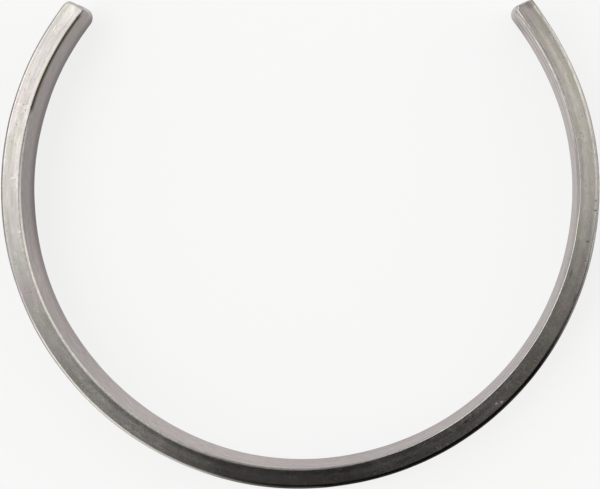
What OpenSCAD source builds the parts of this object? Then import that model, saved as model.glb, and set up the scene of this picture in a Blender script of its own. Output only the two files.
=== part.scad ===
// Locating ring: an open steel ring that fills the space beside a rolling bearing in a split housing,
// so that the bearing can't move along its shaft. It is one length of rectangular bar, bent on its
// thin side to the curve of the housing's seat and cut off at both ends. It lies flat on the XY plane,
// with the ring's axis on Z and the opening on +Y.

/* [Ring] */
// Outside diameter, which sits in the housing's seat
outer_d = 100; // [60:0.5:160]
// Thickness of the bar, from the inside wall to the outside wall
bar_t = 3.5; // [2.7:0.1:8]
// Width of the bar, along the ring's axis
bar_w = 9.5; // [3:0.1:20]

/* [Opening] */
// Angle between the two ends, seen from the ring's axis
opening_angle = 99.5; // [40:0.5:160]

/* [Ends] */
// Lean of the cut at the +X end: the bar's inside wall is the longer one
right_skew = 16; // [0:1:20]
// Lean of the cut at the -X end, the same way
left_skew = 13; // [0:1:20]
// Radius of each end's two corners, seen along the ring's axis
corner_r = 1.15; // [0.7:0.05:1.25]

/* [Edges] */
// Radius that the bar's long edges are broken to
edge_r = 0.55; // [0.2:0.05:0.65]
// Radius that the edges round each cut are broken to
cut_edge_r = 0.62; // [0.22:0.05:0.67]

/* [Hidden] */
$fn = 180;
bar_colour = [0.56, 0.55, 0.53];
// The bar's middle line and its walls, as distances from the ring's axis
outer_r = outer_d / 2;
inner_r = outer_r - bar_t;
middle_r = outer_r - bar_t / 2;
// The bar runs on past each end by one thickness before it is cut
spare_angle = bar_t / middle_r * 180 / PI;
// The bar runs anticlockwise from the -X end to the +X end, round the side away from the opening
opening_middle = 90;
first_angle = opening_middle + opening_angle / 2;
last_angle = opening_middle + 360 - opening_angle / 2;
// How far a cutting block reaches, and how far it runs past the ring's two faces
block_l = 2 * bar_t;
past = 1;
// A corner's round runs past the wall by this share of its radius, as a filed corner's does
corner_overrun = 0.003;
corner_set = (1 - corner_overrun) * corner_r;

// Half of the bar's section: square at x = 0, with both edges broken to radius r at the far side
module half_section(depth, r) {
  intersection() {
    square([depth, bar_w]);
    union() {
      square([depth - r, bar_w]);
      translate([0, r])
        square([depth, bar_w - 2 * r]);
      for (y = [r, bar_w - r])
        translate([depth - r, y])
          circle(r);
    }
  }
}

// The bent bar, a little longer than the finished ring
module bent_bar() {
  rotate([0, 0, first_angle - spare_angle])
    rotate_extrude(angle = last_angle - first_angle + 2 * spare_angle)
      translate([middle_r, 0]) {
        half_section(bar_t / 2, edge_r);
        mirror([1, 0])
          half_section(bar_t / 2, edge_r);
      }
}

// What the round takes off one corner, between the directions from_a and to_a about the round's centre
module corner_cut(centre, from_a, to_a) {
  from_dir = block_l * [cos(from_a), sin(from_a)];
  to_dir = block_l * [cos(to_a), sin(to_a)];
  difference() {
    translate([0, 0, -past])
      linear_extrude(bar_w + 2 * past)
        polygon([centre, centre + from_dir, centre + from_dir + to_dir, centre + to_dir]);
    translate(centre)
      rotate_extrude()
        half_section(corner_r, cut_edge_r);
  }
}

// All that is cut off one end. Y points out of the end face, and X runs along it, away from the ring's axis
module end_cut(skew) {
  face_x = middle_r * cos(skew);
  face_y = middle_r * sin(skew);
  corner_y = face_y - corner_set;
  outer_x = sqrt(pow(outer_r - corner_set, 2) - pow(corner_y, 2));
  inner_x = sqrt(pow(inner_r + corner_set, 2) - pow(corner_y, 2));
  difference() {
    translate([face_x - bar_t, face_y - corner_r, -past])
      cube([2 * bar_t, corner_r + block_l, bar_w + 2 * past]);
    translate([face_x - block_l, face_y - block_l, 0])
      rotate([90, 0, 90])
        linear_extrude(2 * block_l)
          half_section(block_l, cut_edge_r);
  }
  corner_cut([outer_x, corner_y], atan2(corner_y, outer_x), 90);
  corner_cut([inner_x, corner_y], 90, 180 + atan2(corner_y, inner_x));
}

module locating_ring() {
  color(bar_colour)
    difference() {
      bent_bar();
      rotate([0, 0, last_angle - right_skew])
        end_cut(right_skew);
      rotate([0, 0, first_angle + left_skew])
        mirror([0, 1, 0])
          end_cut(left_skew);
    }
}

locating_ring();
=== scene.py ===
import math

import bpy
import numpy as np
from mathutils import Matrix, Vector, noise


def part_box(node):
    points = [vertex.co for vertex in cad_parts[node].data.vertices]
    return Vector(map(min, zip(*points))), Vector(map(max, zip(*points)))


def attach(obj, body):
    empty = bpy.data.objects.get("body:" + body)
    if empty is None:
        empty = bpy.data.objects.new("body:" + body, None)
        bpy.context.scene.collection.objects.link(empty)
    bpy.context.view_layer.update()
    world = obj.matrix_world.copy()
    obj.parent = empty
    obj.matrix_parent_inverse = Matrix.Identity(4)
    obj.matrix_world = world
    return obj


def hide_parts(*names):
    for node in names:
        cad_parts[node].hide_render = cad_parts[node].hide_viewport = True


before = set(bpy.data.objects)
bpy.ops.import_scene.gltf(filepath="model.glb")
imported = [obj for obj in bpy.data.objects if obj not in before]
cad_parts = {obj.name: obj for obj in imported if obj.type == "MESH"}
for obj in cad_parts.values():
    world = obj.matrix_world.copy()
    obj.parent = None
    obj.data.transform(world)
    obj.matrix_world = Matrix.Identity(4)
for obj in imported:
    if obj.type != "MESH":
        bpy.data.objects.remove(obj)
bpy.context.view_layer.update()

# ---------------------------------------------------------------- sizes, in metres, in the row frame
# The left end of the bar is the one at -X, and the right end the one at +X
NODE = "locating_ring"
MILLIMETRE = 0.001
LOW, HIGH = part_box(NODE)
OUTER_R = HIGH.x
WIDTH = HIGH.z - LOW.z
THICKNESS = 0.0035
INNER_R = OUTER_R - THICKNESS
MIDDLE_R = OUTER_R - THICKNESS / 2
OPENING = math.radians(99.5)
RIGHT_SKEW = math.radians(16)
LEFT_SKEW = math.radians(13)
EDGE_R = 0.00055
# The corners of the two cuts in plan, at the lower and at the upper face: filed by hand, so not all alike
LEFT_INNER_CORNER = (0.00180, 0.00072)
LEFT_OUTER_CORNER = (0.00150, 0.00190)
RIGHT_INNER_CORNER = (0.00170, 0.00110)
RIGHT_OUTER_CORNER = (0.00090, 0.00060)
# How much further the lower face reaches than the upper one at each cut, and how far the whole cut stands
# back from its place in the CAD: less than 0 is further out
RIGHT_LEAN = 0.00085
LEFT_LEAN = 0.00020
RIGHT_SETBACK = -0.00010
LEFT_SETBACK = 0.00010

# ---------------------------------------------------------------- how finely the ring is divided
STATIONS = 720
CORNER_STEPS = 6
END_STEPS = 8
EDGE_STEPS = 6
WALL_ROWS = 10
LINES = 2 * CORNER_STEPS + END_STEPS

# ---------------------------------------------------------------- what a real bar adds to the plain form
# The height, length and breadth of its long waves and of its shallow dents
WAVE_HEIGHT = 0.00004
WAVE_LENGTH = 0.022
WAVE_BREADTH = 0.006
DENT_HEIGHT = 0.000008
DENT_LENGTH = 0.0045
DENT_BREADTH = 0.0016
DENT_SEED = 7
# How far its edges wander, over what length, and how many times a metre across the bar and up it
EDGE_WANDER = 0.00010
EDGE_WANDER_LENGTH = 0.007
EDGE_WANDERS_ACROSS = 900
EDGE_WANDERS_UP = 400
EDGE_WANDER_SEED = 3
# Where the bar was bent a little too little or too much: the place along it from its middle at -Y, half of
# the length over which that shows, and how far out it stands there
BENDS = [
    (-0.056, 0.013, 0.00015),
    (0.014, 0.015, -0.00009),
    (0.101, 0.010, -0.00019),
]
# The upper edges' radius as a share of EDGE_R, by distance along the bar from its middle at -Y, in metres
INNER_EDGE_SHARES = [
    (-0.110, 0.36),
    (-0.092, 0.50),
    (-0.082, 0.74),
    (-0.060, 0.84),
    (-0.020, 0.72),
    (0.0, 0.50),
    (0.060, 0.55),
    (0.088, 0.90),
    (0.110, 1.35),
]
OUTER_EDGE_SHARES = [(-0.110, 0.80), (-0.060, 1.0), (0.0, 1.1), (0.110, 0.90)]
# The same for the upper edges of the two cuts, and how far from a cut they reach, in metres
LEFT_CUT_SHARE = 0.45
RIGHT_CUT_SHARE = 0.30
CUT_EDGE_REACH = 0.0030
# The lengthwise map: how many times a metre it repeats, where the bar's middle lies on it, and how much the
# height counts beside the distance across the bar
MAP_REPEATS = 4
MAP_MIDDLE = 0.5
MAP_HEIGHT_SHARE = 0.5


# ================================================================ the ring's mesh
class End:
    """One cut end. Its own X runs along the cut, away from the ring's axis, and its own Y points out of it.

    side is 1 at the left end and -1 at the right end. Each pair of corners is a radius below and one above.
    """

    def __init__(self, angle, skew, side, outer_corners, inner_corners, lean, setback):
        along_cut = angle + side * skew
        self.x_axis = np.array([math.cos(along_cut), math.sin(along_cut)])
        self.y_axis = -side * np.array([-self.x_axis[1], self.x_axis[0]])
        self.face_y = MIDDLE_R * math.sin(skew) - setback
        self.outer_corners = outer_corners
        self.inner_corners = inner_corners
        self.lean = lean

    def reach(self, height):
        """How far out the cut's own face lies along its own Y, at one height."""
        return self.face_y + self.lean * (0.5 - height / WIDTH)

    def curve(self, inset, height):
        """Plan points of the cut's outline set in by inset, from the outside wall to the inside wall."""
        outer_corner = np.interp(height, (0.0, WIDTH), self.outer_corners)
        inner_corner = np.interp(height, (0.0, WIDTH), self.inner_corners)
        face_y = self.reach(height)
        outer_y, inner_y = face_y - outer_corner, face_y - inner_corner
        outer_x = math.sqrt((OUTER_R - outer_corner) ** 2 - outer_y**2)
        inner_x = math.sqrt((INNER_R + inner_corner) ** 2 - inner_y**2)
        outer_turn = math.atan2(outer_y, outer_x)
        inner_turn = math.pi + math.atan2(inner_y, inner_x)
        upright = math.pi / 2
        points = corner_points(outer_x, outer_y, outer_corner - inset, outer_turn, upright)
        for k in range(1, END_STEPS):
            points.append((outer_x + (inner_x - outer_x) * k / END_STEPS, face_y - inset))
        points += corner_points(inner_x, inner_y, inner_corner - inset, upright, inner_turn)
        return [x * self.x_axis + y * self.y_axis for x, y in points]


def corner_points(x, y, radius, first_turn, last_turn):
    """Points round a corner's centre, from one direction to another."""
    turns = np.linspace(first_turn, last_turn, CORNER_STEPS + 1)
    return [(x + radius * math.cos(turn), y + radius * math.sin(turn)) for turn in turns]


RIGHT_END = End(
    angle=math.pi / 2 - OPENING / 2,
    skew=RIGHT_SKEW,
    side=-1,
    outer_corners=RIGHT_OUTER_CORNER,
    inner_corners=RIGHT_INNER_CORNER,
    lean=RIGHT_LEAN,
    setback=RIGHT_SETBACK,
)
LEFT_END = End(
    angle=math.pi / 2 + OPENING / 2,
    skew=LEFT_SKEW,
    side=1,
    outer_corners=LEFT_OUTER_CORNER,
    inner_corners=LEFT_INNER_CORNER,
    lean=LEFT_LEAN,
    setback=LEFT_SETBACK,
)


def from_bottom(point):
    """Angle round the ring's axis: 0 at -Y, growing anticlockwise, so it jumps only in the opening."""
    return math.atan2(point[0], -point[1])


def line_points(first, last):
    """Points along one lengthwise line of the bar, from its first point to its last."""
    first_angle, last_angle = from_bottom(first), from_bottom(last)
    first_r, last_r = np.hypot(*first), np.hypot(*last)
    share = np.linspace(0, 1, STATIONS + 1)
    angle = first_angle + (last_angle - first_angle) * share
    radius = first_r + (last_r - first_r) * share
    return np.stack([radius * np.sin(angle), -radius * np.cos(angle)], axis=1)


def outline(inset, height):
    """The closed plan outline set in by inset: outside wall, left cut, inside wall, right cut."""
    right, left = RIGHT_END.curve(inset, height), LEFT_END.curve(inset, height)
    outer = line_points(right[0], left[0])
    inner = line_points(right[-1], left[-1])[::-1]
    return np.concatenate([outer, left[1:-1], inner, right[-2:0:-1]])


def levels():
    """(inset, height) of each loop, from the upper face's rim down to the lower face's rim."""
    found = []
    for k in range(EDGE_STEPS + 1):
        turn = math.pi / 2 * k / EDGE_STEPS
        found.append((EDGE_R * (1 - math.sin(turn)), WIDTH - EDGE_R * (1 - math.cos(turn))))
    straight = WIDTH - 2 * EDGE_R
    for k in range(1, WALL_ROWS):
        share = (1 - math.cos(math.pi * k / WALL_ROWS)) / 2
        found.append((0.0, WIDTH - EDGE_R - straight * share))
    for inset, height in reversed(found[: EDGE_STEPS + 1]):
        found.append((inset, WIDTH - height))
    return found


def face_grid(row, size):
    """Numbers of the points on a face's rim, by lengthwise line and station. The inside is still empty."""
    side = STATIONS + 1
    grid = np.zeros((LINES + 1, side), int)
    grid[0] = np.arange(side)
    grid[1:LINES, -1] = side + np.arange(LINES - 1)
    grid[LINES] = side + LINES - 1 + np.arange(side)[::-1]
    grid[1:LINES, 0] = 2 * side + LINES - 1 + np.arange(LINES - 1)[::-1]
    return grid + row * size


def ring_mesh():
    """The bent bar as one closed mesh: its points, its faces and, for each face, whether it is in a cut."""
    loops = levels()
    side = STATIONS + 1
    size = 2 * (side + LINES - 1)
    points = [np.c_[outline(inset, height), np.full(size, height)] for inset, height in loops]
    faces, cut = [], []
    for row in range(len(loops) - 1):
        for column in range(size):
            following = (column + 1) % size
            upper, lower = row * size, (row + 1) * size
            faces.append((upper + column, upper + following, lower + following, lower + column))
            past_side = column % (size // 2) - (side - 1) - CORNER_STEPS
            cut.append(0 <= past_side < END_STEPS and EDGE_STEPS <= row < len(loops) - 1 - EDGE_STEPS)
    count = len(loops) * size
    for row, height in ((0, WIDTH), (len(loops) - 1, 0.0)):
        right, left = RIGHT_END.curve(EDGE_R, height), LEFT_END.curve(EDGE_R, height)
        grid = face_grid(row, size)
        for line in range(1, LINES):
            inside = line_points(right[line], left[line])[1:-1]
            points.append(np.c_[inside, np.full(len(inside), height)])
            grid[line, 1:-1] = count + np.arange(len(inside))
            count += len(inside)
        squares = [grid[:-1, :-1], grid[:-1, 1:], grid[1:, 1:], grid[1:, :-1]]
        corners = np.stack(squares, axis=-1).reshape(-1, 4)
        if row == 0:
            corners = corners[:, ::-1]
        faces += corners.tolist()
        cut += [False] * len(corners)
    return np.concatenate(points), faces, cut


def add_waves(points, normals):
    """The bar is not quite straight or flat: long waves, shallow dents, and edges that wander a little."""
    moved = points.copy()
    for k, (point, normal) in enumerate(zip(points, normals)):
        along = from_bottom(point) * MIDDLE_R
        across = np.hypot(point[0], point[1]) - MIDDLE_R
        height = point[2]
        wave_place = (along / WAVE_LENGTH, across / WAVE_BREADTH, height / WAVE_BREADTH)
        dent_place = (along / DENT_LENGTH, across / DENT_BREADTH, height / DENT_BREADTH + DENT_SEED)
        wander_place = (
            along / EDGE_WANDER_LENGTH,
            across * EDGE_WANDERS_ACROSS,
            height * EDGE_WANDERS_UP + EDGE_WANDER_SEED,
        )
        places = (wave_place, dent_place, wander_place)
        wave, dent, wander = (noise.noise(Vector(place)) for place in places)
        shift = WAVE_HEIGHT * wave + DENT_HEIGHT * dent
        # 0 on the faces and the walls, where the normal is upright or level, and 1 in the middle of an edge
        on_edge = min(1.0, 4 * abs(normal[2]) * math.hypot(normal[0], normal[1]) ** 2)
        shift -= EDGE_WANDER * on_edge * max(0.0, wander)
        moved[k] += normal * shift
    moved[:, 2] = np.clip(moved[:, 2], LOW.z, HIGH.z)
    return moved


def resized(distance, share, reach):
    """Distance from a wall or the upper face, after the edge there is made share times as large."""
    if distance < EDGE_R:
        return distance * share
    return share * EDGE_R + (distance - EDGE_R) * (reach - share * EDGE_R) / (reach - EDGE_R)


def size_upper_edges(points):
    """The upper edges aren't equally sharp all along: each is made smaller or larger as its shares say."""
    for k, (x, y, z) in enumerate(points):
        if z < WIDTH / 2:
            continue
        radius = math.hypot(x, y)
        along = from_bottom((x, y)) * MIDDLE_R
        inner_share = np.interp(along, *zip(*INNER_EDGE_SHARES))
        outer_share = np.interp(along, *zip(*OUTER_EDGE_SHARES))
        across = min(max((radius - INNER_R) / THICKNESS, 0.0), 1.0)
        share = inner_share + (outer_share - inner_share) * across**2 * (3 - 2 * across)
        if across < 0.5:
            new_radius = INNER_R + resized(radius - INNER_R, share, THICKNESS / 2)
        else:
            new_radius = OUTER_R - resized(OUTER_R - radius, share, THICKNESS / 2)
        height = WIDTH - resized(WIDTH - z, share, WIDTH / 2)
        points[k] = (x * new_radius / radius, y * new_radius / radius, height)


def size_cut_edges(points, end, share):
    """The upper edge of one cut is less broken than the bar's own edges."""
    for point in points:
        back = end.reach(point[2]) - point[:2] @ end.y_axis
        on_upper_edge = point[2] >= WIDTH - EDGE_R
        at_this_end = point[:2] @ end.x_axis >= 0 and 0 <= back < CUT_EDGE_REACH
        if on_upper_edge and at_this_end:
            point[:2] += (back - resized(back, share, CUT_EDGE_REACH)) * end.y_axis


def bend_unevenly(points):
    """The ring was rolled by hand, so it isn't quite round."""
    for point in points:
        radius = np.hypot(point[0], point[1])
        along = from_bottom(point) * MIDDLE_R
        shift = sum(out * math.exp(-(((along - middle) / reach) ** 2)) for middle, reach, out in BENDS)
        point[:2] *= (radius + shift) / radius


def build_ring():
    """The bent bar as one piece, with material 0 on its faces and walls and material 1 on its two cuts."""
    points, faces, cut = ring_mesh()
    size_cut_edges(points, LEFT_END, LEFT_CUT_SHARE)
    size_cut_edges(points, RIGHT_END, RIGHT_CUT_SHARE)
    size_upper_edges(points)
    bend_unevenly(points)
    mesh = bpy.data.meshes.new("bent_bar")
    mesh.from_pydata(points.tolist(), [], faces)
    mesh.update()
    normals = np.array([v.normal for v in mesh.vertices])
    moved = add_waves(points, normals)
    mesh.vertices.foreach_set("co", moved.astype(np.float32).ravel())
    mesh.polygons.foreach_set("material_index", np.array(cut, np.int32))
    mesh.polygons.foreach_set("use_smooth", np.ones(len(faces), bool))
    add_lengthwise_map(mesh)
    mesh.update()
    ring = bpy.data.objects.new("bent_bar", mesh)
    bpy.context.scene.collection.objects.link(ring)
    return ring


def add_lengthwise_map(mesh):
    """A map whose U runs along the bar, which turns the steel's gloss to the drawing direction."""
    layer = mesh.uv_layers.new(name="lengthwise")
    vertex = np.zeros(len(mesh.loops), np.int32)
    mesh.loops.foreach_get("vertex_index", vertex)
    co = np.zeros(len(mesh.vertices) * 3, np.float32)
    mesh.vertices.foreach_get("co", co)
    co = co.reshape(-1, 3)
    along = np.arctan2(co[:, 0], -co[:, 1]) * MIDDLE_R
    across = np.hypot(co[:, 0], co[:, 1]) - INNER_R + co[:, 2] * MAP_HEIGHT_SHARE
    uv = np.stack([along, across], axis=1)[vertex]
    layer.data.foreach_set("uv", (uv * MAP_REPEATS + MAP_MIDDLE).astype(np.float32).ravel())


# ================================================================ materials
# Blender's Mix node has sockets for each kind of data. These are its two colours and the colour it gives
MIX_FIRST = 6
MIX_SECOND = 7
MIX_RESULT = 2


class Tree:
    """A short way to write a node tree.

    put links or sets a socket, and node adds a node and returns it. Every other method adds a node and
    returns its output. ramp runs smoothly from to_low, where value is low, to to_high, where it is high.
    """

    def __init__(self, tree):
        self.tree = tree
        tree.nodes.clear()

    def put(self, socket, value):
        if isinstance(value, bpy.types.NodeSocket):
            self.tree.links.new(value, socket)
        else:
            socket.default_value = value

    def node(self, kind, settings=None, **inputs):
        made = self.tree.nodes.new(kind)
        for name, value in (settings or {}).items():
            setattr(made, name, value)
        for name, value in inputs.items():
            self.put(made.inputs[name.replace("_", " ")], value)
        return made

    def math(self, operation, a, b=0.0, c=0.0):
        made = self.tree.nodes.new("ShaderNodeMath")
        made.operation = operation
        for socket, value in zip(made.inputs, (a, b, c)):
            self.put(socket, value)
        return made.outputs[0]

    def combine(self, x, y, z):
        return self.node("ShaderNodeCombineXYZ", None, X=x, Y=y, Z=z).outputs[0]

    def noise(self, vector, scale=1.0, detail=2.0, roughness=0.5):
        inputs = {"Vector": vector, "Scale": scale, "Detail": detail, "Roughness": roughness}
        return self.node("ShaderNodeTexNoise", None, **inputs).outputs["Fac"]

    def ramp(self, value, low, high, to_low=0.0, to_high=1.0):
        made = self.tree.nodes.new("ShaderNodeMapRange")
        made.interpolation_type = "SMOOTHSTEP"
        for socket, given in zip(made.inputs, (value, low, high, to_low, to_high)):
            self.put(socket, given)
        return made.outputs[0]

    def mix(self, factor, a, b, blend="MIX"):
        made = self.tree.nodes.new("ShaderNodeMix")
        made.data_type = "RGBA"
        made.blend_type = blend
        self.put(made.inputs["Factor"], factor)
        self.put(made.inputs[MIX_FIRST], a)
        self.put(made.inputs[MIX_SECOND], b)
        return made.outputs[MIX_RESULT]


# The drawn steel of the faces
STEEL = (0.44, 0.428, 0.41, 1.0)
STEEL_BRIGHT = (0.54, 0.53, 0.51, 1.0)
STEEL_DARK = (0.34, 0.33, 0.31, 1.0)
STEEL_OLIVE = (0.41, 0.412, 0.34, 1.0)
STEEL_MAUVE = (0.47, 0.415, 0.425, 1.0)
# The walls
WALL = (0.394, 0.379, 0.364, 1.0)
WALL_OLIVE = (0.400, 0.400, 0.335, 1.0)
WALL_MAUVE = (0.425, 0.362, 0.385, 1.0)
WALL_DARK = (0.29, 0.260, 0.262, 1.0)
# The edges' painted highlights and painted dark reflections, the marks, and painted shade on the inside wall
PALE_LINES_AND_HIGHLIGHTS = (0.65, 0.635, 0.60, 1.0)
EDGE_DARK_REFLECTION = (0.20, 0.185, 0.18, 1.0)
TARNISH = (0.20, 0.15, 0.13, 1.0)
OLIVE_DARK_REFLECTION = (0.11, 0.098, 0.070, 1.0)
DARK_REFLECTION_BAND = (0.025, 0.023, 0.021, 1.0)
SOOT_AND_SHADE = (0.11, 0.09, 0.095, 1.0)
PALE = (0.80, 0.77, 0.74, 1.0)
# What the lines along the upper face multiply its colour by
LIGHTENED = (1.15, 1.15, 1.15, 1.0)
DARKENED = (0.55, 0.54, 0.53, 1.0)
# The sheared steel of the two cuts
CUT = (0.225, 0.222, 0.205, 1.0)
CUT_DARK = (0.17, 0.16, 0.148, 1.0)
CUT_BRIGHT = (0.36, 0.355, 0.33, 1.0)
# What a bar of steel reflects at a glancing angle, as a share of what plain theory gives
GLANCING = (0.84, 0.79, 0.79, 1.0)

# Marks on the upper face and its edges, in millimetres: along the bar from its middle at -Y, across it from
# the inside wall, half of the mark's length and breadth, and its strength
PALE_MARKS = [
    (-90.0, 2.3, 0.12, 0.50, 0.6),
    (-88.9, 2.1, 0.10, 0.55, 0.6),
    (-77.6, 1.3, 0.22, 0.40, 0.4),
    (-68.3, 0.7, 0.22, 0.42, 0.4),
    (-58.0, 3.1, 0.50, 0.15, 0.5),
    (37.0, 2.0, 0.22, 0.24, 0.45),
    (37.8, 2.4, 0.24, 0.22, 0.45),
    (92.2, 0.3, 0.40, 0.16, 0.3),
    (109.2, 0.6, 0.35, 0.45, 0.8),
]
DARK_MARKS = [
    (7.9, 2.0, 0.20, 0.16, 0.6),
    (18.7, 2.9, 0.30, 0.10, 0.5),
    (41.6, 0.8, 0.35, 0.12, 0.6),
    (58.5, 2.8, 0.60, 0.10, 0.5),
    (67.9, 2.3, 0.16, 0.26, 0.7),
    (73.0, 2.9, 0.14, 0.20, 0.8),
    (74.6, 2.9, 0.14, 0.16, 0.7),
]
BROWN_MARKS = [
    (2.0, 3.2, 3.00, 0.25, 0.6),
    (29.6, 1.6, 0.40, 0.90, 0.2),
    (31.2, 1.05, 0.55, 0.26, 0.7),
    (32.8, 0.95, 0.40, 0.26, 0.7),
    (62.0, 0.9, 0.80, 0.20, 0.5),
    (98.0, 1.0, 8.00, 0.30, 0.2),
    (108.4, 2.6, 0.70, 0.75, 0.42),
]
# Stretches of the face and of the walls that are lighter or darker than the rest, as painted light and
# shade:
# first and last in millimetres along the bar, how much lighter, and how softly each end fades, in
# millimetres
FACE_LIGHT_AND_SHADE = [
    (-112, -106, 0.20, 2.5),
    (-40, -22, 0.16, 5.0),
    (-15, 12, -0.37, 4.0),
    (12, 24, -0.18, 4.0),
    (28, 38, 0.10, 5.0),
    (66, 78, 0.08, 4.0),
    (84, 100, -0.06, 5.0),
    (103, 112, -0.14, 3.0),
]
WALL_LIGHT_AND_SHADE = [
    (-112, -66, -0.31, 7.0),
    (-60, -44, -0.06, 7.0),
    (-38, -2, 0.20, 8.0),
    (8, 80, -0.06, 4.0),
]
# How much lighter or darker the inner and the outer upper edge are than the face, as painted highlight and
# shade, by the same measures
INNER_EDGE_LIGHT_AND_SHADE = [
    (-90, -64, 0.22, 4.0),
    (0, 68, -0.25, 5.0),
    (72, 106, -0.30, 4.0),
]
OUTER_EDGE_HIGHLIGHT = [(64, 80, 0.45, 4.0)]
# Painted highlights and painted dark reflections in lines along the upper edges, in millimetres: first and
# last along the bar, the distance across it from the inside wall, half of the line's breadth, and its
# strength
EDGE_HIGHLIGHT_LINES = [
    (-110, -62, 0.50, 0.14, 0.15),
    (-87, -38, 0.22, 0.22, 1.00),
    (18, 62, 0.16, 0.10, 0.45),
    (104, 112, 0.42, 0.10, 0.90),
    (84, 112, 0.05, 0.11, 1.00),
    (-53, -14, 3.27, 0.22, 0.90),
    (62, 84, 2.98, 0.24, 0.95),
    (84, 112, 2.98, 0.22, 0.85),
]
EDGE_DARK_REFLECTION_LINES = [
    (-112, -57, 3.44, 0.10, 0.45),
    (-92, -66, 3.43, 0.22, 0.85),
    (-66, -40, 3.44, 0.14, 0.65),
    (-34, -27, 3.48, 0.10, 0.60),
    (58, 86, 3.42, 0.18, 0.80),
    (78, 112, 3.26, 0.10, 0.60),
]
# Where the upper face is lighter along the bar, by the same measures
FACE_LINES = [
    (-36, -14, 2.75, 0.55, 0.9),
    (-50, 24, 1.40, 0.55, 0.9),
    (54, 110, 1.45, 0.50, 0.9),
    (-108, -84, 0.75, 0.25, 0.4),
    (-84, -56, 0.80, 0.40, 0.9),
]
# The same where it is darker
DARKER_FACE_LINES = [(-40, 16, 0.78, 0.36, 0.70)]
# Dark and pale lines on the inside wall, by the same measures, but with their height in place of the
# distance across
DARK_WALL_LINES = [
    (38, 72, 6.2, 0.60, 0.60),
    (38, 68, 3.3, 0.50, 0.50),
    (56, 86, 8.4, 0.80, 1.00),
    (83, 110, 6.2, 0.60, 0.85),
    (-16, 20, 7.6, 0.40, 0.25),
]
PALE_WALL_LINES = [
    (-10, 76, 9.0, 0.45, 0.35),
    (82, 112, 8.1, 0.55, 0.50),
    (88, 110, 4.6, 0.50, 0.25),
]
# A line and a mark fade between these shares of their half breadth, and for a mark these are squared
LINE_GONE = 1.4
LINE_FULL = 0.5
MARK_GONE = 1.6
MARK_FULL = 0.3

# Noise drawn out along the bar: how long and how broad one streak is, in metres, how much detail it has, and
# how far along it is shifted, so that no two are alike
FINE_STREAKS = (0.0024, 0.00012, 3.0, 0.0)
BROAD_STREAKS = (0.012, 0.0006, 2.0, 3.0)
PATCHES = (0.0016, 0.0007, 3.0, 7.0)
TINTS = (0.0050, 0.0010, 3.0, 17.0)
WALL_STREAKS = (0.045, 0.00022, 1.0, 5.0)
WALL_GRAIN = (0.0018, 0.0004, 4.0, 11.0)
WALL_TINTS = (0.0080, 0.0009, 2.0, 31.0)
RAGGED_LINES = (0.0009, 0.0006, 2.0, 23.0)
DARK_LINE_RIM = (0.0030, 0.0030, 3.0, 41.0)
# Noise that is alike in all directions: how many times a metre it changes
BLOTCHES = 900.0
PITS = 2600.0
GRIT = 3400.0
CUT_GRAIN = 1500.0
# The tears on the two cuts, the same along the bar, across it and up it
TEARS = (3000.0, 4200.0, 260.0)

# How rough the drawn steel's streaks are, and how much rougher blotches, edges and pale marks are
DRAWN_ROUGHNESS = (0.17, 0.22)
BLOTCH_ROUGHER = 0.06
EDGE_ROUGHER = 0.20
MARK_ROUGHER = 0.2
CUT_ROUGHNESS = (0.34, 0.48)
# How deep the relief of the drawn and of the cut steel is, in metres
DRAWN_RELIEF = 0.00001
CUT_RELIEF = 0.00002

# Single features. A stretch is first, last and how softly both end, in millimetres along the bar. The other
# pairs say where something begins to show and where it shows in full, in metres.
# A painted dark reflection on the inside upper edge at the left end, and how far its lower rim wanders
DARK_LINE_STRETCH = (-108.6, -89.5, 0.8)
DARK_LINE_HEIGHTS = (0.0091, 0.0097)
DARK_LINE_ACROSS = (0.00052, 0.00027)
DARK_LINE_WANDER = 0.0016
DARK_LINE_STRENGTH = 0.92
# A painted dark reflection on the outside upper edge at the bottom
DARK_BAND_STRETCH = (-5, 54, 9.0)
DARK_BAND_ACROSS = (0.00260, 0.00290)
DARK_BAND_HEIGHTS = (0.0085, 0.0090)
# Painted shade on the lower half of the inside wall, darker at the left
LOW_SHADE_ALONG = (-0.045, -0.070)
LOW_SHADE_HEIGHTS = (0.0055, 0.0010)
LOW_SHADE_STRENGTH = 0.55
# Painted shade along the foot of the inside wall, a little everywhere and most at the left, with a wandering
# rim
FOOT_ALONG = (-0.040, -0.074)
FOOT_STRENGTHS = (0.05, 0.75)
FOOT_HEIGHTS = (0.0064, 0.0034)
FOOT_WANDER = 0.0040
# A stain on the inside wall at the right end
STAIN_STRETCH = (105.0, 108.2, 1.2)
STAIN_HEIGHTS = (0.0085, 0.0050)
# Fine specks on the faces at the bottom, and how much they lighten or darken them
SPECKS_STRETCH = (-46, 64, 12.0)
SPECKS_STRENGTH = 0.24

# A surface's tilt is 0 on a wall and 1 on a face. Between the values of each pair an edge begins to show
# and shows in full, coming from the wall and coming from the face
EDGE_FROM_WALL = (0.05, 0.30)
EDGE_FROM_FACE = (0.985, 0.90)
# The same for the lines along the upper edges, for the toned part of the inner edge, and for the walls
LINES_FROM_WALL = (0.03, 0.20)
TONED_FROM_WALL = (0.68, 0.84)
WALL_FROM_EDGE = (0.55, 0.05)


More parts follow.
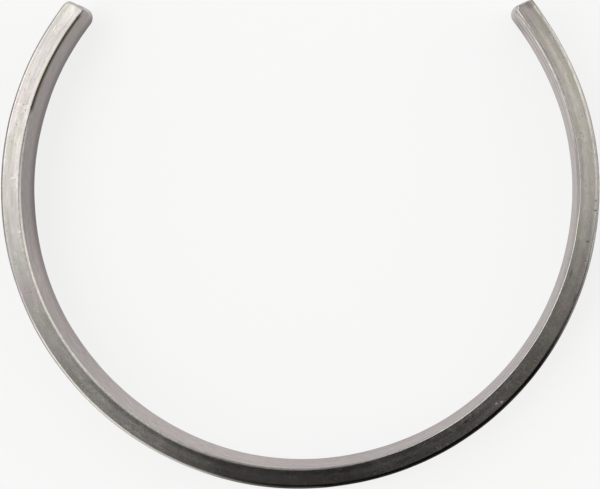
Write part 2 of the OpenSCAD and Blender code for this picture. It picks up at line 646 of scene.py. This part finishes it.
class Bar:
    """Where a shaded point is on the bar, in metres, and how much it belongs to each part of the bar.

    along runs from the bar's middle at -Y, and across from the inside wall. The parts run from 0 to 1: the
    broken edges, the bar's upper part, and its inner and outer half.
    """

    def __init__(self, t):
        coordinates = t.node("ShaderNodeTexCoord").outputs
        self.t = t
        self.place = coordinates["Object"]
        split = t.node("ShaderNodeSeparateXYZ", None, Vector=self.place).outputs
        x, y, self.height = split["X"], split["Y"], split["Z"]
        self.along = t.math("MULTIPLY", t.math("ARCTAN2", x, t.math("MULTIPLY", y, -1.0)), MIDDLE_R)
        radius = t.math("SQRT", t.math("ADD", t.math("MULTIPLY", x, x), t.math("MULTIPLY", y, y)))
        self.across = t.math("SUBTRACT", radius, INNER_R)
        normal = t.node("ShaderNodeSeparateXYZ", None, Vector=coordinates["Normal"]).outputs
        self.tilt = t.math("ABSOLUTE", normal["Z"])
        off_wall, off_face = t.ramp(self.tilt, *EDGE_FROM_WALL), t.ramp(self.tilt, *EDGE_FROM_FACE)
        self.edge = t.math("MULTIPLY", off_wall, off_face)
        self.upper = t.ramp(self.height, 0.6 * WIDTH, 0.8 * WIDTH)
        self.inner = t.ramp(self.across, 0.6 * THICKNESS, 0.4 * THICKNESS)
        self.outer = t.math("SUBTRACT", 1.0, self.inner)

    def streaks(self, length, breadth, detail, shift):
        """Noise drawn out along the bar: length and breadth are the size of one streak, in metres."""
        t = self.t
        vector = t.combine(
            t.math("ADD", t.math("MULTIPLY", self.along, 1 / length), shift),
            t.math("MULTIPLY", self.across, 1 / breadth),
            t.math("MULTIPLY", self.height, 1 / breadth),
        )
        return t.noise(vector, 1.0, detail)

    def stretch(self, first, last, soft=3.0):
        """1 on one stretch of the bar, from first to last along it in millimetres, and 0 elsewhere."""
        t = self.t
        first, last, soft = first * MILLIMETRE, last * MILLIMETRE, soft * MILLIMETRE
        begun = t.ramp(self.along, first - soft, first + soft)
        not_ended = t.ramp(self.along, last + soft, last - soft)
        return t.math("MULTIPLY", begun, not_ended)

    def tone(self, table):
        """1 on most of the bar, and more or less on each stretch of a table."""
        t, total = self.t, 1.0
        for first, last, amount, soft in table:
            total = t.math("MULTIPLY_ADD", self.stretch(first, last, soft), amount, total)
        return t.combine(total, total, total)

    def lines(self, table, place):
        """Thin, ragged lines along the bar, at distances measured in place, which is across or height."""
        t, total = self.t, 0.0
        ragged = t.ramp(self.streaks(*RAGGED_LINES), 0.36, 0.56, 0.50, 1.0)
        for first, last, distance, breadth, strength in table:
            away = t.math("ABSOLUTE", t.math("SUBTRACT", place, distance * MILLIMETRE))
            gone, full = LINE_GONE * breadth * MILLIMETRE, LINE_FULL * breadth * MILLIMETRE
            line = t.ramp(away, gone, full, 0.0, strength)
            total = t.math("MAXIMUM", total, t.math("MULTIPLY", line, self.stretch(first, last)))
        return t.math("MULTIPLY", total, ragged)

    def marks(self, table):
        """Each mark of a table as strong as it says in its middle, and 0 away from them all."""
        t, total = self.t, 0.0
        for along, across, length, breadth, strength in table:
            u = t.math("MULTIPLY_ADD", self.along, 1 / (length * MILLIMETRE), -along / length)
            v = t.math("MULTIPLY_ADD", self.across, 1 / (breadth * MILLIMETRE), -across / breadth)
            away = t.math("ADD", t.math("MULTIPLY", u, u), t.math("MULTIPLY", v, v))
            total = t.math("MAXIMUM", total, t.ramp(away, MARK_GONE, MARK_FULL, 0.0, strength))
        return t.math("MULTIPLY", total, self.upper)


def new_material(name):
    """An empty material, and its node tree."""
    material = bpy.data.materials.new(name)
    material.use_nodes = True
    return material, Tree(material.node_tree)


def steel_shader(t, colour, rough, bump, **grain):
    """Bare metal that reflects as bar steel does. grain says how its gloss is drawn out, if it is."""
    shader = t.node(
        "ShaderNodeBsdfPrincipled",
        None,
        Base_Color=colour,
        Metallic=1.0,
        Roughness=rough,
        Specular_Tint=GLANCING,
        Normal=bump.outputs[0],
        **grain,
    )
    t.node("ShaderNodeOutputMaterial", None, Surface=shader.outputs[0])


def face_colour(t, bar, fine, broad, patch):
    """The faces: patches and streaks, stretches of painted light and shade, lighter and darker lines, and
    specks.
    """
    tint = bar.streaks(*TINTS)
    colour = t.mix(t.ramp(tint, 0.52, 0.70, 0.0, 0.8), STEEL, STEEL_OLIVE)
    colour = t.mix(t.ramp(tint, 0.48, 0.30, 0.0, 0.8), colour, STEEL_MAUVE)
    colour = t.mix(t.ramp(broad, 0.42, 0.75, 0.0, 0.6), colour, STEEL_DARK)
    colour = t.mix(t.ramp(patch, 0.50, 0.75, 0.0, 0.6), colour, STEEL_BRIGHT)
    colour = t.mix(t.ramp(fine, 0.50, 0.80, 0.0, 0.45), colour, STEEL_DARK)
    # Painted light and shade on stretches of the face
    colour = t.mix(1.0, colour, bar.tone(FACE_LIGHT_AND_SHADE), "MULTIPLY")
    for table, factor in ((FACE_LINES, LIGHTENED), (DARKER_FACE_LINES, DARKENED)):
        colour = t.mix(bar.lines(table, bar.across), colour, t.mix(1.0, colour, factor, "MULTIPLY"))
    grit = t.noise(bar.place, GRIT, 2.0, 0.6)
    specks = t.math("MULTIPLY", t.ramp(grit, 0.40, 0.62, -0.5, 0.5), bar.stretch(*SPECKS_STRETCH))
    specks = t.math("MULTIPLY_ADD", specks, SPECKS_STRENGTH, 1.0)
    return t.mix(1.0, colour, t.combine(specks, specks, specks), "MULTIPLY")


def wall_steel(t, bar, grain):
    """The walls' bare steel: darker than the faces, olive and mauve in patches, grained along the bar."""
    lines = bar.streaks(*WALL_STREAKS)
    hue = bar.streaks(*WALL_TINTS)
    wall = t.mix(t.ramp(hue, 0.48, 0.66, 0.0, 0.6), WALL, WALL_OLIVE)
    wall = t.mix(t.ramp(hue, 0.50, 0.32, 0.0, 0.55), wall, WALL_MAUVE)
    wall = t.mix(t.ramp(lines, 0.50, 0.72, 0.0, 0.8), wall, WALL_DARK)
    wall = t.mix(t.ramp(grain, 0.50, 0.66, 0.0, 0.65), wall, WALL_DARK)
    return t.mix(t.ramp(grain, 0.48, 0.32, 0.0, 0.55), wall, STEEL_BRIGHT)


def wall_shade(t, bar, wall, grain):
    """What darkens the inside wall: painted shade low on the left and along its foot, and a stain on the
    right.
    """
    # Painted shade on the lower half of the inside wall at the left
    left = t.math("MULTIPLY", t.ramp(bar.along, *LOW_SHADE_ALONG), bar.inner)
    left = t.math("MULTIPLY", left, LOW_SHADE_STRENGTH)
    low = t.math("MULTIPLY", t.ramp(bar.height, *LOW_SHADE_HEIGHTS), left)
    wall = t.mix(low, wall, WALL_DARK)
    # Painted shade along the foot of the inside wall, most at the left
    foot = t.math("ADD", bar.height, t.math("MULTIPLY", grain, FOOT_WANDER))
    strength = t.ramp(bar.along, *FOOT_ALONG, *FOOT_STRENGTHS)
    foot = t.math("MULTIPLY", t.ramp(foot, *FOOT_HEIGHTS), strength)
    wall = t.mix(t.math("MULTIPLY", foot, bar.inner), wall, SOOT_AND_SHADE)
    stain = t.math("MULTIPLY", t.ramp(bar.height, *STAIN_HEIGHTS), bar.stretch(*STAIN_STRETCH))
    stain = t.math("MULTIPLY", stain, t.ramp(grain, 0.35, 0.60, 0.6, 1.0))
    return t.mix(t.math("MULTIPLY", stain, bar.inner), wall, SOOT_AND_SHADE)


def wall_colour(t, bar, colour):
    """The walls in their own steel, with dark and pale lines, painted shade and a stain on the inside wall,
    and painted light and shade on stretches.
    """
    grain = bar.streaks(*WALL_GRAIN)
    wall = wall_steel(t, bar, grain)
    for table, tint in ((DARK_WALL_LINES, TARNISH), (PALE_WALL_LINES, PALE_LINES_AND_HIGHLIGHTS)):
        wall = t.mix(t.math("MULTIPLY", bar.lines(table, bar.height), bar.inner), wall, tint)
    wall = wall_shade(t, bar, wall, grain)
    # Painted light and shade on stretches of the walls
    wall = t.mix(1.0, wall, bar.tone(WALL_LIGHT_AND_SHADE), "MULTIPLY")
    return t.mix(t.ramp(bar.tilt, *WALL_FROM_EDGE), colour, wall)


def toned_edges(t, bar, colour):
    """The two upper edges, lighter or darker than the face on some stretches: painted highlight and shade.
    """
    rounded = t.math("MULTIPLY", bar.edge, bar.upper)
    # Painted highlight and shade on stretches of the inner edge, then of the outer edge
    toned = t.mix(1.0, colour, bar.tone(INNER_EDGE_LIGHT_AND_SHADE), "MULTIPLY")
    inner = t.math("MULTIPLY", rounded, bar.inner)
    colour = t.mix(t.math("MULTIPLY", inner, t.ramp(bar.tilt, *TONED_FROM_WALL)), colour, toned)
    toned = t.mix(1.0, colour, bar.tone(OUTER_EDGE_HIGHLIGHT), "MULTIPLY")
    return t.mix(t.math("MULTIPLY", rounded, bar.outer), colour, toned)


def edge_colour(t, bar, colour):
    """Painted highlights and dark reflections on the upper edges: in lines, inside the left end and outside
    at the bottom.
    """
    colour = toned_edges(t, bar, colour)
    upper_edge = t.math("MULTIPLY", t.ramp(bar.tilt, *LINES_FROM_WALL), bar.upper)
    # Painted highlights and painted dark reflections in lines along the upper edges
    for table, tint in ((EDGE_HIGHLIGHT_LINES, PALE_LINES_AND_HIGHLIGHTS), (EDGE_DARK_REFLECTION_LINES, EDGE_DARK_REFLECTION)):
        colour = t.mix(t.math("MULTIPLY", bar.lines(table, bar.across), upper_edge), colour, tint)
    # A painted dark reflection on the inside upper edge at the left end
    wander = bar.streaks(*DARK_LINE_RIM)
    rim = t.math("MULTIPLY_ADD", wander, DARK_LINE_WANDER, bar.height)
    dark_line = t.math("MULTIPLY", t.ramp(rim, *DARK_LINE_HEIGHTS), bar.stretch(*DARK_LINE_STRETCH))
    dark_line = t.math("MULTIPLY", dark_line, t.ramp(bar.across, *DARK_LINE_ACROSS, 0.0, DARK_LINE_STRENGTH))
    colour = t.mix(dark_line, colour, OLIVE_DARK_REFLECTION)
    # A painted dark reflection on the outside upper edge at the bottom
    dark_band = t.math("MULTIPLY", t.ramp(bar.across, *DARK_BAND_ACROSS), bar.stretch(*DARK_BAND_STRETCH))
    return t.mix(t.math("MULTIPLY", dark_band, t.ramp(bar.height, *DARK_BAND_HEIGHTS)), colour, DARK_REFLECTION_BAND)


def drawn_steel():
    """Bright drawn bar: lengthwise streaks, olive and mauve patches, marks from handling, painted highlights
    and dark reflections on its edges and painted shade on its inside wall.
    """
    material, t = new_material("drawn_steel")
    bar = Bar(t)
    fine = bar.streaks(*FINE_STREAKS)
    broad = bar.streaks(*BROAD_STREAKS)
    patch = bar.streaks(*PATCHES)
    blotch = t.noise(bar.place, BLOTCHES, 3.0, 0.6)
    pits = t.noise(bar.place, PITS, 1.0)

    colour = face_colour(t, bar, fine, broad, patch)
    colour = wall_colour(t, bar, colour)
    colour = t.mix(t.ramp(blotch, 0.62, 0.85, 0.0, 0.4), colour, TARNISH)
    colour = t.mix(t.ramp(pits, 0.70, 0.80, 0.0, 0.6), colour, TARNISH)
    colour = edge_colour(t, bar, colour)
    pale = t.math("MULTIPLY", bar.marks(PALE_MARKS), t.ramp(patch, 0.35, 0.60, 0.25, 1.0))
    colour = t.mix(bar.marks(BROWN_MARKS), colour, TARNISH)
    colour = t.mix(bar.marks(DARK_MARKS), colour, SOOT_AND_SHADE)
    colour = t.mix(pale, colour, PALE)

    rough = t.ramp(broad, 0.3, 0.7, *DRAWN_ROUGHNESS)
    rough = t.math("ADD", rough, t.ramp(blotch, 0.5, 0.8, 0.0, BLOTCH_ROUGHER))
    rough = t.math("ADD", rough, t.math("MULTIPLY", bar.edge, EDGE_ROUGHER))
    rough = t.math("ADD", rough, t.math("MULTIPLY", pale, MARK_ROUGHER))

    height = t.math("ADD", t.math("MULTIPLY", fine, 0.5), t.math("MULTIPLY", patch, 1.2))
    height = t.math("SUBTRACT", height, t.ramp(pits, 0.68, 0.80, 0.0, 1.5))
    height = t.math("ADD", height, t.math("MULTIPLY", pale, 2.0))
    bump = t.node("ShaderNodeBump", None, Strength=0.4, Distance=DRAWN_RELIEF, Height=height)
    tangent = t.node("ShaderNodeTangent", {"direction_type": "UV_MAP", "uv_map": "lengthwise"})
    grain = {"Anisotropic": 0.5, "Anisotropic_Rotation": 0.25, "Tangent": tangent.outputs[0]}
    steel_shader(t, colour, rough, bump, **grain)
    return material


def cut_steel():
    """The sheared ends: duller, torn from face to face by the tool, and darker at the foot."""
    material, t = new_material("cut_steel")
    bar = Bar(t)
    place = (bar.along, bar.across, bar.height)
    stretched = [t.math("MULTIPLY", part, times) for part, times in zip(place, TEARS)]
    tears = t.noise(t.combine(*stretched), 1.0, 3.0)
    grain = t.noise(bar.place, CUT_GRAIN, 3.0, 0.6)
    colour = t.mix(t.ramp(tears, 0.4, 0.7, 0.0, 0.7), CUT, CUT_DARK)
    colour = t.mix(t.ramp(grain, 0.55, 0.75, 0.0, 0.5), colour, CUT_BRIGHT)
    colour = t.mix(t.ramp(bar.height, 0.0030, 0.0004, 0.0, 0.7), colour, CUT_DARK)
    rough = t.ramp(grain, 0.3, 0.7, *CUT_ROUGHNESS)
    height = t.math("ADD", tears, grain)
    bump = t.node("ShaderNodeBump", None, Strength=0.5, Distance=CUT_RELIEF, Height=height)
    steel_shader(t, colour, rough, bump)
    return material


# ================================================================ floor, light and camera
# The floor: half of its side, and how far it lies under the ring, so that the two don't share a plane
FLOOR_REACH = 1.5
FLOOR_GAP = 0.00005
# Its paint, which shows the ring's shadow, and how much of it the camera and reflections see as plain white
FLOOR_COLOUR = (0.93, 0.93, 0.92, 1.0)
FLOOR_WHITE = (1.0, 1.0, 1.0, 1.0)
FLOOR_WHITE_SHARE = 0.78


def build_floor():
    """A plain pale floor just under the ring."""
    mesh = bpy.data.meshes.new("floor")
    corners = [(-1, -1), (1, -1), (1, 1), (-1, 1)]
    points = [(x * FLOOR_REACH, y * FLOOR_REACH, -FLOOR_GAP) for x, y in corners]
    mesh.from_pydata(points, [], [(0, 1, 2, 3)])
    floor = bpy.data.objects.new("floor", mesh)
    bpy.context.scene.collection.objects.link(floor)
    material, t = new_material("floor")
    paint = t.node("ShaderNodeBsdfDiffuse", None, Color=FLOOR_COLOUR)
    white = t.node("ShaderNodeEmission", None, Color=FLOOR_WHITE, Strength=1.0)
    rays = t.node("ShaderNodeLightPath").outputs
    reflected = t.math("ADD", rays["Is Glossy Ray"], rays["Is Transmission Ray"])
    seen = t.math("MINIMUM", t.math("ADD", rays["Is Camera Ray"], reflected), 1.0)
    mixed = t.node("ShaderNodeMixShader")
    t.put(mixed.inputs[0], t.math("MULTIPLY", seen, FLOOR_WHITE_SHARE))
    t.put(mixed.inputs[1], paint.outputs[0])
    t.put(mixed.inputs[2], white.outputs[0])
    t.node("ShaderNodeOutputMaterial", None, Surface=mixed.outputs[0])
    mesh.materials.append(material)


# The studio's soft boxes: where each one stands as azimuth and elevation in degrees, how far its glow
# spreads in degrees, its strength and its colour. Azimuth 0 is +X and 90 is +Y. The brightest stands high
# over the left. From azimuth 215 round by -Y to 20 there are only three weak fills, kept low, which leaves
# the -Y side of the upper face dark from above. Most of the boxes stand near lights that a scratch program
# had fitted to the photo: report.md names these.
WARM = (1.0, 0.965, 0.90)
NEUTRAL = (1.0, 0.975, 0.96)
COOL = (0.97, 0.955, 1.0)
SOFT_LIGHTS = [
    ("key", 165, 65, 8, 3.4, NEUTRAL),
    ("top_right", 30, 75, 7, 2.0, WARM),
    ("top_back", 110, 65, 8, 0.7, NEUTRAL),
    ("left", 215, 40, 12, 2.1, WARM),
    ("back_left", 165, 40, 16, 1.0, COOL),
    ("back", 115, 45, 14, 0.8, COOL),
    ("right", 20, 50, 10, 0.8, COOL),
    ("low_right", 20, 20, 15, 2.1, WARM),
    ("low_back_right", 65, 25, 13, 1.2, NEUTRAL),
    ("low_back", 115, 20, 14, 1.5, COOL),
    ("low_left", 205, 10, 12, 1.0, NEUTRAL),
    ("fill_left", 250, 20, 16, 0.4, NEUTRAL),
    ("fill_front", 285, 20, 16, 0.4, NEUTRAL),
    ("fill_right", 320, 20, 16, 0.4, NEUTRAL),
]
# The pale backdrop all round: how bright it is at the horizon, how many degrees up it has mostly faded, and
# how suddenly it does
HORIZON = 0.85
HORIZON_SPREAD = 16.0
HORIZON_STEEPNESS = 4.0


def direction(azimuth, height):
    """The direction to a place in the sky, given in degrees."""
    a, e = math.radians(azimuth), math.radians(height)
    return Vector((math.cos(a) * math.cos(e), math.sin(a) * math.cos(e), math.sin(e)))


def backdrop(t, ray):
    """The colour of the pale backdrop, by how far above or below the horizon a ray points."""
    elevation = t.math("ARCSINE", t.node("ShaderNodeSeparateXYZ", None, Vector=ray).outputs["Z"])
    elevation = t.math("ABSOLUTE", t.math("DIVIDE", elevation, math.radians(HORIZON_SPREAD)))
    glow = t.math("EXPONENT", t.math("MULTIPLY", t.math("POWER", elevation, HORIZON_STEEPNESS), -1.0))
    glow = t.math("MULTIPLY", glow, HORIZON)
    return t.combine(glow, glow, glow)


def build_world():
    """The backdrop with the soft boxes on it, each one a round glow that is brightest in its middle."""
    world = bpy.data.worlds.new("studio")
    bpy.context.scene.world = world
    world.use_nodes = True
    t = Tree(world.node_tree)
    ray = t.node("ShaderNodeTexCoord").outputs["Generated"]
    colour = backdrop(t, ray)
    for _, azimuth, height, spread, strength, tint in SOFT_LIGHTS:
        dot = t.node("ShaderNodeVectorMath", {"operation": "DOT_PRODUCT"})
        t.put(dot.inputs[0], ray)
        dot.inputs[1].default_value = direction(azimuth, height)
        away = t.math("ARCCOSINE", t.math("MINIMUM", dot.outputs["Value"], 1.0))
        away = t.math("DIVIDE", away, math.radians(spread))
        amount = t.math("EXPONENT", t.math("MULTIPLY", t.math("MULTIPLY", away, away), -0.5))
        lit = tuple(strength * c for c in tint) + (1.0,)
        colour = t.mix(amount, colour, t.mix(1.0, colour, lit, "ADD"))
    background = t.node("ShaderNodeBackground", None, Color=colour, Strength=1.0)
    t.node("ShaderNodeOutputWorld", None, Surface=background.outputs[0])


# Where the camera stands, what it looks at and which way is up, in metres in the row frame, and its lens in
# millimetres. A scratch program solved these from the ring's outline in the photo, and they are rounded
CAMERA_PLACE = Vector((0.0203, -0.0002, 0.2487))
CAMERA_AIM = Vector((0.0009, -0.0089, 0.0095))
CAMERA_UP = Vector((-0.010, 1.0, -0.036))
CAMERA_LENS = 86.6
SENSOR_WIDTH = 36.0
NEAREST_SEEN = 0.01
FARTHEST_SEEN = 10.0


def build_camera():
    """The photo's view: almost straight down on the ring."""
    data = bpy.data.cameras.new("camera")
    data.lens = CAMERA_LENS
    data.sensor_width = SENSOR_WIDTH
    data.clip_start = NEAREST_SEEN
    data.clip_end = FARTHEST_SEEN
    camera = bpy.data.objects.new("camera", data)
    back = (CAMERA_PLACE - CAMERA_AIM).normalized()
    up = (CAMERA_UP - back * CAMERA_UP.dot(back)).normalized()
    turn = Matrix((up.cross(back), up, back)).transposed()
    camera.matrix_world = Matrix.Translation(CAMERA_PLACE) @ turn.to_4x4()
    bpy.context.scene.collection.objects.link(camera)
    bpy.context.scene.camera = camera


# ================================================================ the scene
ring = build_ring()
ring.data.materials.append(drawn_steel())
ring.data.materials.append(cut_steel())
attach(ring, "root")
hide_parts(NODE)
build_floor()
build_world()
build_camera()
bpy.context.scene.view_settings.view_transform = "Standard"
